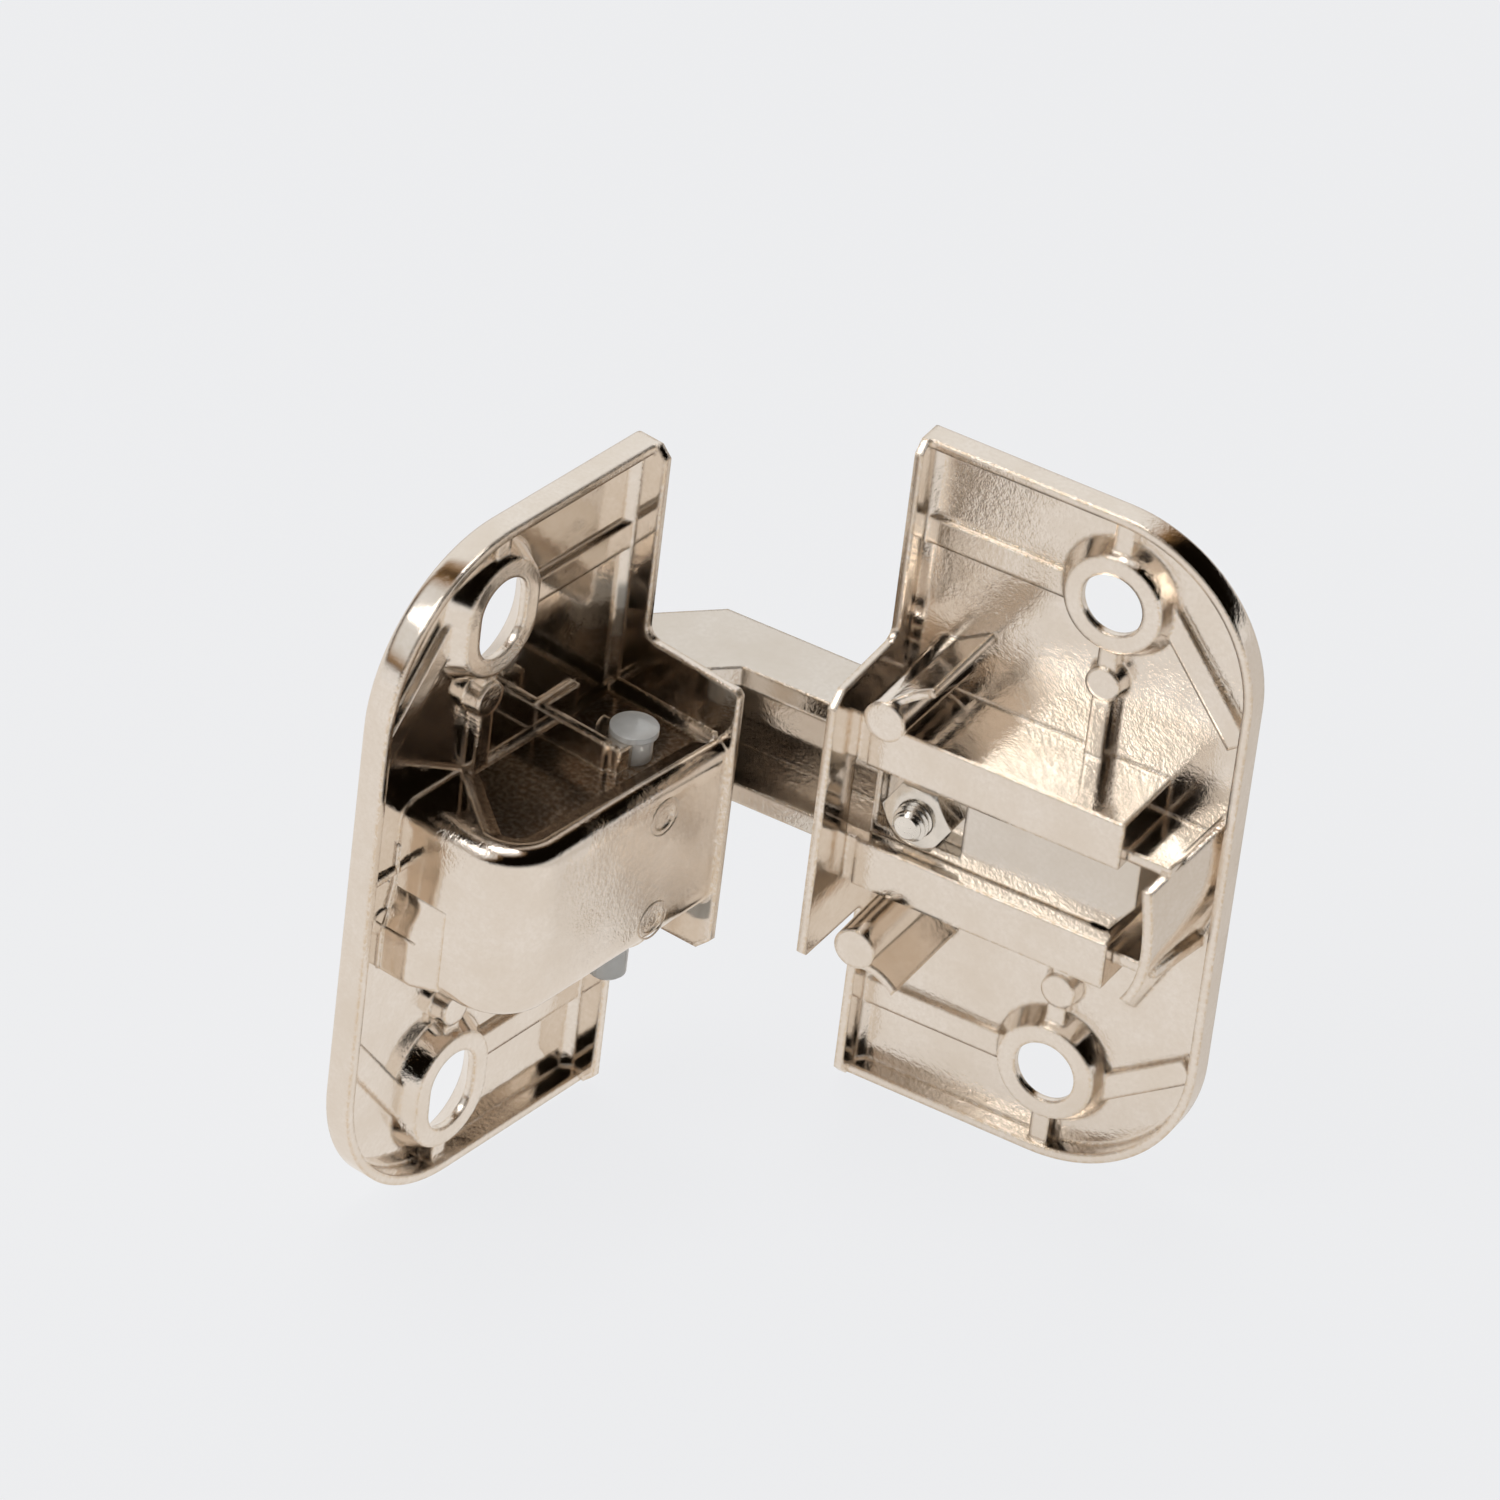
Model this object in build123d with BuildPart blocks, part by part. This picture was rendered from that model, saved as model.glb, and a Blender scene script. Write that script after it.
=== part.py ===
from build123d import *
from math import cos, radians, sin, sqrt, tan
import os

# Concealed hinge for an overlay door: two nickel-plated zinc die castings joined by a cranked arm.
# The slide housing carries the arm in a guide, the pivot housing swings round the arm on a pin.
# Frame: +Z up along the pin. The origin lies midway between the slide housing's two screw holes, in
# the plane of their bosses' backs, which seat in the mortise. X runs across that housing towards its
# round end and +Y leaves its finished face.
# On either housing "across" counts from the flange, "along" from mid-height and "deep" from the
# finished face into the casting, and a pair like (across, deep) is a point in such a plane.

# ---------------- leaf: the D-shaped dish that both housings share (mm) ----------------
leaf_height = 80.0
leaf_width = 40.0
corner_radius = 17.5
floor = 1.1
rim_depth = 3.3
rim_wall = 1.0
face_rounding = 0.8

flange_wall = 0.9
low_flange_depth = 4.8
low_flange_chamfer = 1.2
tall_flange_depth = 17.3
tall_flange_top = 16.3
tall_flange_foot = 17.2
tall_flange_draft = 0.4
tall_flange_chamfer = 1.6
tall_flange_foot_chamfer = 0.5
flange_root_radius = 1.5
flange_fillet = 0.9

screw_inset = 23.2
screw_spacing = 59.0
screw_hole = 7.0
screw_sink = 12.2
pivot_slot = 2.4
screw_boss_top = 11.0
screw_boss_depth = 3.5
screw_boss_draft = 28.0
pip_spacing = 38.8
pip_diameter = 4.4
pip_depth = 3.0
pip_draft = 8.0

spine_width = 2.1
spine_depth = 2.7
spine_foot = 10.0
cross_rib_width = 3.1
cross_rib_drop = 1.1
low_cross_rib_lift = 0.5
cross_rib_depth = 1.8
stay_width = 2.8
stay_depth = 1.9
stay_shoulder = (4.9, 1.0)
stay_drop = 11.7
slide_low_stay_drop = 6.2

# ---------------- arm ----------------
arm_height = 16.6
arm_near_face = 8.85
arm_outer_face = 0.8
arm_fit = 0.15
arm_side_fit = 0.2
elbow_across = -20.6
crank_end = (-26.4, 6.3)
crook_outer_mid = (-27.0, 13.2)
crook_outer_end = (-22.3, 20.9)
inner_elbow_across = -14.2
inner_crank_end = (-17.5, 11.9)
crook_inner_mid = (-17.7, 16.0)
crook_inner_end = (-14.0, 22.0)
eye_diameter = 8.8
pin_across = -14.83
pin_deep = 30.43
arm_flange = 2.3
arm_web = 1.7
web_rib_width = 3.8
web_rib_height = 1.0
hollow_end = 2.5
hollow_crank = (-24.2, 6.5)
hollow_stop = (-17.2, 12.7)
web_rib_crank = (-23.4, 7.2)
shoulder_reach = 1.2
tail_margin = 11.5
tongue_margin = 7.0
tongue_width = 9.2
tongue_chamfer = (2.6, 3.8)

# ---------------- clamp screw and nut (M4) ----------------
screw_across = 8.0
thread_major = 4.0
thread_core = 3.2
head_diameter = 7.6
head_rim = 0.3
head_recess = 0.1
screw_tip = 12.3
tip_chamfer = 0.3
drive_slot = 0.9
drive_span = 4.4
drive_depth = 1.3
head_fit = 0.05
shank_clearance = 0.4
seat_boss_diameter = 10.4
seat_boss_depth = 2.7
nut_flats = 7.0
nut_thickness = 3.2
nut_chamfer = 0.35
nut_side_fit = 0.1
nut_seat_depth = 1.75
slide_travel = 0.75

# ---------------- guide, posts and gusset on the slide housing ----------------
guide_wall = 1.75
lip_thickness = 2.2
lip_gap = 9.5
lip_relief = 0.35
lip_relief_end = 2.2
guide_margin = 8.5
guide_end_wall = 1.5
notch_depth = 11.0
tie_wall = 1.25
tie_depth = 9.2
low_tie_offset = 2.0

post_across = 5.5
post_offset = 13.9
low_post_drop = 0.8
post_diameter = 4.6
post_depth = 15.4
post_draft = 1.0
fin_thickness = 0.9
fin_reach = 5.2
fin_lean = 32.0
fin_tip_depth = 13.9
fin_sag = 0.9

gusset_wall = 1.1
gusset_depth = 11.4
gusset_foot_inset = [(1.1, 8.8), (1.8, -3.6), (4.9, -11.0), (9.0, -19.2)]
gusset_crest_inset = [(4.4, 3.6), (3.6, -1.5), (3.6, -6.0), (5.1, -10.3)]

# ---------------- pocket on the pivot housing ----------------
rest_angle = 80.64
pocket_margin = 6.6
pocket_depth = 16.7
pocket_corner = 6.6
pocket_wall = 1.4
pocket_end_wall = 0.85
pocket_lip = 0.8
pocket_rounding = 2.0
pad_reach = 1.3
pad_depth = 8.0
pad_levels = (-9.2, -3.9)
recess_heel_wall = 9.2
recess_turn_wall = 6.8
recess_turn_level = 4.2
recess_nose_level = 9.7
recess_nose_wall = 2.7
recess_side_wall = 2.3
recess_root_wall = 1.5
recess_shoulder = 3.4
recess_shoulder_sag = 0.8
pocket_clearance = 0.3
pin_inset = 8.6
pin_level = 10.4
mouth_width = 17.4
window_depth = 14.8
eyelet_diameter = 7.8
eyelet_height = 2.85
eyelet_reach = 1.3
brace_wall = 1.1
brace_across = 12.0
brace_height = 3.3
brace_length = 6.2
brace_foot = 0.7

# ---------------- pin ----------------
pin_diameter = 4.2
pin_fit = 0.05
eye_fit = 0.08
pin_head_diameter = 5.1
pin_head_height = 1.0
pin_head_dome = 0.35
pin_tail = 17.9
pin_tail_chamfer = 0.4

# ---------------- ejector marks ----------------
mark_diameter = 2.7
mark_height = 0.2
floor_mark_inset = (5.0, 3.2)
wall_marks = [(10.3, -5.6), (10.4, 7.3)]

# ---------------- derived places ----------------
half_height = leaf_height / 2
screw_half = screw_spacing / 2
guide_end = leaf_width - guide_margin
tail_end = leaf_width - tail_margin
tongue_end = leaf_width - tongue_margin
pocket_width = leaf_width - pocket_margin
gusset_foot = [(leaf_width - inset, along) for inset, along in gusset_foot_inset]
gusset_crest = [(leaf_width - inset, along) for inset, along in gusset_crest_inset]
guide_inner = arm_height / 2 + arm_side_fit
guide_outer = guide_inner + guide_wall
arm_seat = floor + arm_fit
lip_underside = arm_near_face + arm_fit
guide_depth = lip_underside + lip_thickness
nut_seat = arm_near_face - nut_seat_depth
nut_corners = nut_flats / cos(radians(30))
hollow_half = arm_height / 2 - arm_flange
web_face = arm_outer_face + arm_web
seat_relief = seat_boss_depth + arm_fit
pocket_inner = arm_height / 2 + pocket_clearance
pocket_floor = pocket_inner + pocket_end_wall
pocket_half = pocket_floor + pocket_lip
eyelet_top = pocket_floor + eyelet_height
pin_bore = pin_diameter + 2 * pin_fit

slide_face = Plane(origin=(-screw_inset, screw_boss_depth, 0), x_dir=(1, 0, 0), z_dir=(0, -1, 0))
pin_x = pin_across - screw_inset
pin_y = screw_boss_depth - pin_deep
swing_cos = cos(radians(rest_angle))
swing_sin = sin(radians(rest_angle))
pivot_origin = (
    pin_x + pin_inset * swing_cos - pin_level * swing_sin,
    pin_y + pin_inset * swing_sin + pin_level * swing_cos,
    0,
)
pivot_face = Plane(
    origin=pivot_origin,
    x_dir=(-swing_cos, -swing_sin, 0),
    z_dir=(swing_sin, -swing_cos, 0),
)


def standing(face, foot=(0, 0), heading=0):
    """Plane standing on a housing's face: x leads from foot at heading from across, y goes deep."""
    lead = face.x_dir.rotate(Axis((0, 0, 0), face.z_dir), heading)
    place = face.from_local_coords((*foot, 0))
    return Plane(place, x_dir=lead, z_dir=lead.cross(face.z_dir))


def dish_outline(plane, start, inset):
    """D shape between the flange side at start and the round end, set in from the outer edge."""
    width = leaf_width - inset - start
    with BuildSketch(plane) as outline:
        with Locations((start + width / 2, 0)):
            Rectangle(width, leaf_height - 2 * inset)
        fillet(outline.vertices().group_by(Axis.X)[-1], corner_radius - inset)
    return outline.sketch


def bar(plane, start, end, width):
    """Straight rib seen from above, between two points."""
    with BuildSketch(plane) as strip:
        with BuildLine():
            Line(start, end)
        trace(line_width=width)
    return strip.sketch


def flange_outline(face):
    """Flange: low along the whole side, tall over the middle, with drafted, chamfered shoulders."""
    shoulders = (
        (1, tall_flange_top, tall_flange_chamfer),
        (-1, tall_flange_foot, tall_flange_foot_chamfer),
    )
    with BuildSketch(standing(face, heading=90)) as outline:
        for side, half, chamfer_size in shoulders:
            crest = half - tall_flange_draft
            with BuildLine():
                Polyline(
                    (0, face_rounding),
                    (side * half_height, face_rounding),
                    (side * half_height, low_flange_depth - low_flange_chamfer),
                    (side * (half_height - low_flange_chamfer), low_flange_depth),
                    (side * half, low_flange_depth),
                    (side * crest, tall_flange_depth - chamfer_size),
                    (side * (crest - chamfer_size), tall_flange_depth),
                    (0, tall_flange_depth),
                    close=True,
                )
            make_face()
        level = outline.vertices().filter_by(lambda v: abs(v.Y - low_flange_depth) < 1e-6)
        fillet(level.filter_by(lambda v: abs(v.X) < half_height / 2), flange_root_radius)
    return outline.sketch


def screw_outline(plane, diameter, slot):
    """One round a screw on either side of mid-height, drawn out along the leaf by slot."""
    with BuildSketch(plane) as outline:
        with Locations((screw_inset, screw_half), (screw_inset, -screw_half)):
            if slot:
                SlotCenterToCenter(slot, diameter, rotation=90)
            else:
                Circle(diameter / 2)
    return outline.sketch


def leaf(face, low_cross_level, low_stay_drop, slot):
    """The dish: floor, rim, flange, screw bosses, pips and ribs."""
    boss_rise = screw_boss_depth - floor
    boss_foot = screw_boss_top + 2 * boss_rise * tan(radians(screw_boss_draft))
    with BuildPart() as dish:
        extrude(dish_outline(face, 0, 0), amount=rim_depth)
        fillet(dish.faces().sort_by(Axis(face.origin, face.z_dir))[0].edges(), face_rounding)
        hollow = dish_outline(face.offset(floor), flange_wall, rim_wall)
        extrude(hollow, amount=rim_depth, mode=Mode.SUBTRACT)
        extrude(flange_outline(face), amount=flange_wall)
        with BuildSketch(standing(face)):
            with BuildLine():
                Polyline(
                    (flange_wall / 2, floor / 2),
                    (flange_wall + flange_fillet, floor / 2),
                    (flange_wall + flange_fillet, floor),
                    (flange_wall, floor + flange_fillet),
                    (flange_wall / 2, floor + flange_fillet),
                    close=True,
                )
            make_face()
        extrude(amount=half_height - rim_wall, both=True)

        # spines run from the rim through each boss to its pip, cross ribs to the flange, stays to the rim
        root = face.offset(floor / 2)
        ribs = (
            (1, screw_half - cross_rib_drop, stay_drop),
            (-1, low_cross_level, low_stay_drop),
        )
        for side, level, drop in ribs:
            spine_end = (screw_inset, side * (half_height - rim_wall * 0.6))
            spine = bar(root, spine_end, (screw_inset, side * spine_foot), spine_width)
            extrude(spine, amount=spine_depth - floor / 2)
            cross_end = (screw_inset, side * level)
            cross = bar(root, (flange_wall / 2, side * level), cross_end, cross_rib_width)
            extrude(cross, amount=cross_rib_depth - floor / 2)
            shoulder = (screw_inset + stay_shoulder[0], side * (screw_half + stay_shoulder[1]))
            foot = (leaf_width - rim_wall - stay_width * 0.2, side * (screw_half - drop))
            extrude(bar(root, shoulder, foot, stay_width), amount=stay_depth - floor / 2)

        boss = screw_outline(face.offset(floor), boss_foot, slot)
        extrude(boss, amount=boss_rise, taper=screw_boss_draft)
        with BuildSketch(face.offset(floor)):
            with Locations((screw_inset, pip_spacing / 2), (screw_inset, -pip_spacing / 2)):
                Circle(pip_diameter / 2)
        extrude(amount=pip_depth - floor, taper=pip_draft)

        extrude(screw_outline(face, screw_hole, slot), amount=screw_boss_depth, mode=Mode.SUBTRACT)
        sink = screw_outline(face, screw_sink, slot)
        extrude(sink, amount=(screw_sink - screw_hole) / 2, taper=45, mode=Mode.SUBTRACT)
    return dish.part


slide_leaf = leaf(slide_face, screw_half + low_cross_rib_lift, slide_low_stay_drop, 0)
pivot_leaf = leaf(pivot_face, screw_half - cross_rib_drop, stay_drop, pivot_slot)

# ======================= slide housing =======================
guide_end_plane = standing(slide_face, heading=90)


def gusset_strip(plane, points):
    """Curved wall seen from above: a spline and the same spline one wall nearer the flange."""
    with BuildSketch(plane) as strip:
        with BuildLine():
            outer = Spline(*points)
            inner = Spline(*[(across - gusset_wall, along) for across, along in points])
            Line(outer @ 0, inner @ 0)
            Line(outer @ 1, inner @ 1)
        make_face()
    return strip.sketch


gusset_low = gusset_strip(slide_face.offset(floor / 2), gusset_foot)
gusset_high = gusset_strip(slide_face.offset(gusset_depth), gusset_crest)

with BuildPart() as slide_housing:
    add(slide_leaf)

    # guide: a block that the arm's tail runs through, with lips over it and closed cheeks at the end
    with BuildSketch(guide_end_plane.offset(flange_wall / 2)):
        with Locations((0, guide_depth / 2 + floor / 4)):
            Rectangle(2 * guide_outer, guide_depth - floor / 2)
    extrude(amount=guide_end - flange_wall / 2)
    cheek = lip_gap / 2 + tie_wall / 2
    for level in (cheek, -cheek - low_tie_offset):
        with BuildSketch(standing(slide_face, (0, level))):
            with BuildLine():
                Polyline(
                    (guide_end - guide_end_wall, floor / 2),
                    (gusset_foot[1][0] - gusset_wall / 2, floor / 2),
                    (gusset_crest[1][0], tie_depth),
                    (guide_end - guide_end_wall, tie_depth),
                    close=True,
                )
            make_face()
        extrude(amount=tie_wall / 2, both=True)
    with BuildSketch(guide_end_plane.offset(-flange_wall)):
        with Locations((0, (floor + lip_underside) / 2)):
            Rectangle(2 * guide_inner, lip_underside - floor)
    extrude(amount=flange_wall + guide_end - guide_end_wall, mode=Mode.SUBTRACT)
    with BuildSketch(guide_end_plane.offset(-flange_wall)):
        with Locations((0, (floor + notch_depth) / 2)):
            Rectangle(lip_gap, notch_depth - floor)
    extrude(amount=3 * flange_wall, mode=Mode.SUBTRACT)
    with BuildSketch(guide_end_plane.offset(flange_wall)):
        with Locations((0, (floor + guide_depth) / 2)):
            Rectangle(lip_gap, guide_depth - floor)
    extrude(amount=guide_end, mode=Mode.SUBTRACT)
    with BuildSketch(guide_end_plane.offset(flange_wall)):
        with Locations((0, guide_depth)):
            Rectangle(2 * guide_outer, 2 * lip_relief)
    extrude(amount=lip_relief_end - flange_wall, mode=Mode.SUBTRACT)

    # gusset: a leaning, curved wall from the rim round the end of the guide
    loft([gusset_low, gusset_high], ruled=True)

    # posts with a fin each
    post_rise = post_depth - floor
    for side, offset in ((1, post_offset), (-1, post_offset + low_post_drop)):
        with BuildSketch(slide_face.offset(floor)):
            with Locations((post_across, side * offset)):
                Circle(post_diameter / 2 + post_rise * tan(radians(post_draft)))
        extrude(amount=post_rise, taper=post_draft)
        root = (post_across, side * (offset + (post_diameter - fin_thickness) / 2))
        with BuildSketch(standing(slide_face, root, side * fin_lean)):
            with BuildLine():
                crest = ThreePointArc(
                    (0, post_depth),
                    (fin_reach / 2, (post_depth + fin_tip_depth) / 2 - fin_sag),
                    (fin_reach, fin_tip_depth),
                )
                Polyline(crest @ 1, (fin_reach, floor / 2), (0, floor / 2), crest @ 0)
            make_face()
        extrude(amount=fin_thickness / 2, both=True)

    # raised seat for the clamp screw, countersunk from the finished face
    with BuildSketch(slide_face.offset(floor / 2)):
        with Locations((screw_across, 0)):
            Circle(seat_boss_diameter / 2)
    extrude(amount=seat_boss_depth - floor / 2)
    seat = slide_face.from_local_coords((screw_across, 0, 0))
    with Locations(Plane(seat, x_dir=slide_face.x_dir, z_dir=-slide_face.z_dir)):
        CounterSinkHole(
            (thread_major + shank_clearance) / 2,
            head_diameter / 2 + head_rim + head_recess + head_fit,
            counter_sink_angle=90,
        )
slide_housing.part.label = "slide_housing"

# ======================= pivot housing =======================
pocket_plan = standing(pivot_face)


def pocket_outline(plane, wall, start, base):
    """Pocket seen from above, between the flange and its rounded outer corner."""
    width = pocket_width - wall - start
    depth = pocket_depth - wall - base
    with BuildSketch(plane) as outline:
        with Locations((start + width / 2, base + depth / 2)):
            Rectangle(width, depth)
        corner = outline.vertices().sort_by(lambda v: v.X + v.Y)[-1]
        fillet(corner, pocket_corner - wall)
    return outline.sketch


def recess_outline(plane):
    """Recess in either end of the pocket: straight along the leaf and the flange, round outside."""
    heel = (pocket_width - recess_heel_wall, floor)
    turn = (pocket_width - recess_turn_wall, recess_turn_level)
    nose = (pocket_width - recess_nose_wall, recess_nose_level)
    crown = (nose[0] - recess_shoulder, pocket_depth - recess_side_wall)
    shoulder = (
        (nose[0] + crown[0]) / 2 + recess_shoulder_sag,
        (nose[1] + crown[1]) / 2 + recess_shoulder_sag,
    )
    with BuildSketch(plane) as outline:
        with BuildLine():
            root = (flange_wall, pocket_depth - recess_root_wall)
            Polyline(heel, (flange_wall, floor), root, crown)
            ThreePointArc(crown, shoulder, nose)
            ThreePointArc(nose, turn, heel)
        make_face()
    return outline.sketch


with BuildPart() as pocket:
    extrude(pocket_outline(pocket_plan, 0, flange_wall / 2, floor / 2), amount=pocket_half, both=True)
    ends = pocket.faces().filter_by(Plane.XY).edges()
    outer = ends.filter_by(lambda e: pocket_plan.to_local_coords(e @ 0.5).X > flange_wall)
    outer = outer.filter_by(lambda e: pocket_plan.to_local_coords(e @ 0.5).Y > floor)
    fillet(outer, pocket_rounding)

with BuildPart() as pivot_housing:
    add(pivot_leaf)
    add(pocket)
    for side in (1, -1):
        recess = recess_outline(pocket_plan.offset(side * pocket_floor))
        extrude(recess, amount=side * pocket_lip * 1.5, mode=Mode.SUBTRACT)
    with BuildSketch(pocket_plan.offset(pad_levels[0])):
        with BuildLine():
            Polyline(
                (pocket_width - pocket_wall / 2, floor / 2),
                (pocket_width + pad_reach, floor / 2),
                (pocket_width + pad_reach, pad_depth - 2 * pad_reach),
                (pocket_width, pad_depth),
                (pocket_width - pocket_wall / 2, pad_depth),
                close=True,
            )
        make_face()
    extrude(amount=pad_levels[1] - pad_levels[0])
    cavity = pocket_outline(pocket_plan, pocket_wall, flange_wall, floor)
    extrude(cavity, amount=pocket_inner, both=True, mode=Mode.SUBTRACT)

    # mouth in the finished face, running on into a window in the flange
    with BuildSketch(pocket_plan):
        with Locations((mouth_width / 2 - flange_wall, 0)):
            Rectangle(mouth_width + 2 * flange_wall, 2 * floor)
        with Locations((0, window_depth / 2)):
            Rectangle(2 * flange_wall, window_depth)
    extrude(amount=pocket_inner, both=True, mode=Mode.SUBTRACT)

    # eyelets round the pin on both ends of the pocket: the upper one is open on the deep side
    for side in (1, -1):
        with BuildSketch(pocket_plan.offset(side * pocket_floor)):
            with Locations((pin_inset, pin_level)):
                Circle(eyelet_diameter / 2)
            if side > 0:
                with Locations((pin_inset, pin_level + eyelet_reach / 2)):
                    Rectangle(eyelet_diameter, eyelet_reach)
                with Locations((pin_inset, pin_level + eyelet_reach + eyelet_diameter / 2)):
                    Rectangle(eyelet_diameter, eyelet_diameter, mode=Mode.SUBTRACT)
                with Locations((pin_inset - eyelet_diameter / 2, pin_level)):
                    Rectangle(eyelet_diameter, 2 * eyelet_diameter, mode=Mode.SUBTRACT)
        extrude(amount=side * eyelet_height)
    with BuildSketch(pocket_plan.offset(pocket_floor)):
        with Locations((brace_across + brace_wall / 2, (pin_level + floor / 2) / 2)):
            Rectangle(brace_wall, pin_level - floor / 2)
        with Locations((brace_across + brace_wall - brace_length / 2, floor + brace_foot / 2 - floor / 4)):
            Rectangle(brace_length, brace_foot + floor / 2)
    extrude(amount=brace_height)
    with BuildSketch(pocket_plan):
        with Locations((pin_inset, pin_level)):
            Circle(pin_bore / 2)
    extrude(amount=half_height, both=True, mode=Mode.SUBTRACT)

    with BuildSketch(pivot_face.offset(floor / 2)):
        with Locations((leaf_width - floor_mark_inset[0], floor_mark_inset[1])):
            Circle(mark_diameter / 2)
    extrude(amount=floor / 2 + mark_height)
    with BuildSketch(pivot_face.offset(pocket_depth)):
        with Locations(*wall_marks):
            Circle(mark_diameter / 2)
    extrude(amount=-mark_height, mode=Mode.SUBTRACT)
pivot_housing.part.label = "pivot_housing"

# ======================= arm =======================
arm_plan = standing(slide_face)
neck_half = eye_diameter / 2
web_rib_face = web_face + web_rib_height


def channel_outline(web, crank):
    """Channel in the arm seen from above, over a web of the given depth up to its turn at crank."""
    with BuildSketch(arm_plan) as outline:
        with BuildLine():
            Polyline(
                (hollow_end, arm_near_face + 1),
                (hollow_end, web),
                (elbow_across + 0.4 * web, web),
                crank,
                hollow_stop,
                (hollow_stop[0] + 2, arm_near_face + 1),
                close=True,
            )
        make_face()
    return outline.sketch


channel = channel_outline(web_face, hollow_crank)
channel_over_rib = channel_outline(web_rib_face, web_rib_crank)

with BuildPart() as hinge_arm:
    # cranked plate seen from above: straight tail, 45 degree crank, crook and eye
    with BuildSketch(arm_plan):
        with BuildLine():
            Polyline(
                (tail_end, arm_near_face),
                (tail_end, arm_seat),
                (-shoulder_reach, arm_seat),
                (-shoulder_reach, arm_outer_face),
                (elbow_across, arm_outer_face),
                crank_end,
            )
            ThreePointArc(crank_end, crook_outer_mid, crook_outer_end)
            Polyline(
                crook_outer_end,
                (pin_across - neck_half * 0.98, pin_deep - neck_half * 0.2),
                (pin_across, pin_deep),
                (pin_across + neck_half * 0.94, pin_deep - neck_half * 0.34),
                crook_inner_end,
            )
            ThreePointArc(crook_inner_end, crook_inner_mid, inner_crank_end)
            Polyline(inner_crank_end, (inner_elbow_across, arm_near_face), (tail_end, arm_near_face))
        make_face()
        with Locations((pin_across, pin_deep)):
            Circle(eye_diameter / 2)
    extrude(amount=arm_height / 2, both=True)
    with BuildSketch(arm_plan.offset(0)):
        with Locations((pin_across, pin_deep)):
            Circle(pin_diameter / 2 + eye_fit)
    extrude(amount=arm_height, both=True, mode=Mode.SUBTRACT)

    # channel along the inner side, with a rib down the middle of its web
    extrude(channel_over_rib, amount=hollow_half, both=True, mode=Mode.SUBTRACT)
    for side in (1, -1):
        beside = Location(arm_plan.z_dir * side * (hollow_half + web_rib_width / 2) / 2)
        extrude(beside * channel, amount=(hollow_half - web_rib_width / 2) / 2, both=True, mode=Mode.SUBTRACT)

    # narrow tongue at the end of the tail
    with BuildSketch(slide_face.offset(arm_seat)):
        with BuildLine():
            Polyline(
                (tail_end - 1, tongue_width / 2),
                (tongue_end, tongue_width / 2),
                (tongue_end, tongue_chamfer[1] - tongue_width / 2),
                (tongue_end - tongue_chamfer[0], -tongue_width / 2),
                (tail_end - 1, -tongue_width / 2),
                close=True,
            )
        make_face()
    extrude(amount=arm_near_face - arm_seat)

    # nut recess, screw slot and relief over the raised seat, all long enough for the slide
    with BuildSketch(slide_face.offset(nut_seat)):
        with Locations((screw_across, 0)):
            Rectangle(nut_corners + 2 * (slide_travel + nut_side_fit), nut_flats + 2 * nut_side_fit)
    extrude(amount=arm_near_face, mode=Mode.SUBTRACT)
    slot_width = thread_major + shank_clearance
    with BuildSketch(slide_face):
        with Locations((screw_across, 0)):
            SlotOverall(slot_width + 2 * slide_travel, slot_width)
    extrude(amount=arm_near_face, mode=Mode.SUBTRACT)
    relief_width = seat_boss_diameter + 2 * arm_side_fit
    with BuildSketch(slide_face):
        with Locations((screw_across, 0)):
            SlotOverall(relief_width + 2 * slide_travel, relief_width)
    extrude(amount=seat_relief, mode=Mode.SUBTRACT)
hinge_arm.part.label = "hinge_arm"

# ======================= pin =======================
pin_foot = Plane(origin=(pin_x, pin_y, 0), x_dir=(1, 0, 0), z_dir=(0, -1, 0))
with BuildPart() as pivot_pin:
    with BuildSketch(pin_foot):
        with BuildLine():
            head_top = eyelet_top + pin_head_height
            dome = ThreePointArc(
                (0, head_top),
                (pin_head_diameter * 0.3, head_top - pin_head_dome * 0.3),
                (pin_head_diameter / 2, head_top - pin_head_dome),
            )
            Polyline(
                dome @ 1,
                (pin_head_diameter / 2, eyelet_top),
                (pin_diameter / 2, eyelet_top),
                (pin_diameter / 2, pin_tail_chamfer - pin_tail),
                (pin_diameter / 2 - pin_tail_chamfer, -pin_tail),
                (0, -pin_tail),
                dome @ 0,
            )
        make_face()
    revolve(axis=Axis((pin_x, pin_y, 0), (0, 0, 1)))
pivot_pin.part.label = "pivot_pin"

# ======================= clamp screw and nut =======================
screw_axis = Axis(slide_face.from_local_coords((screw_across, 0, 0)), slide_face.z_dir)
with BuildPart() as clamp_screw:
    with BuildSketch(standing(slide_face, (screw_across, 0))):
        with BuildLine():
            neck = head_recess + head_rim + (head_diameter - thread_core) / 2
            Polyline(
                (0, head_recess),
                (head_diameter / 2, head_recess),
                (head_diameter / 2, head_recess + head_rim),
                (thread_core / 2, neck),
                (thread_core / 2, screw_tip - tip_chamfer),
                (thread_core / 2 - tip_chamfer, screw_tip),
                (0, screw_tip),
                close=True,
            )
        make_face()
    revolve(axis=screw_axis)
    with BuildSketch(slide_face):
        with Locations((screw_across, 0)):
            Rectangle(drive_span, drive_slot)
            Rectangle(drive_slot, drive_span)
    extrude(amount=head_recess + drive_depth, mode=Mode.SUBTRACT)
clamp_screw.part.label = "clamp_screw"

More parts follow.
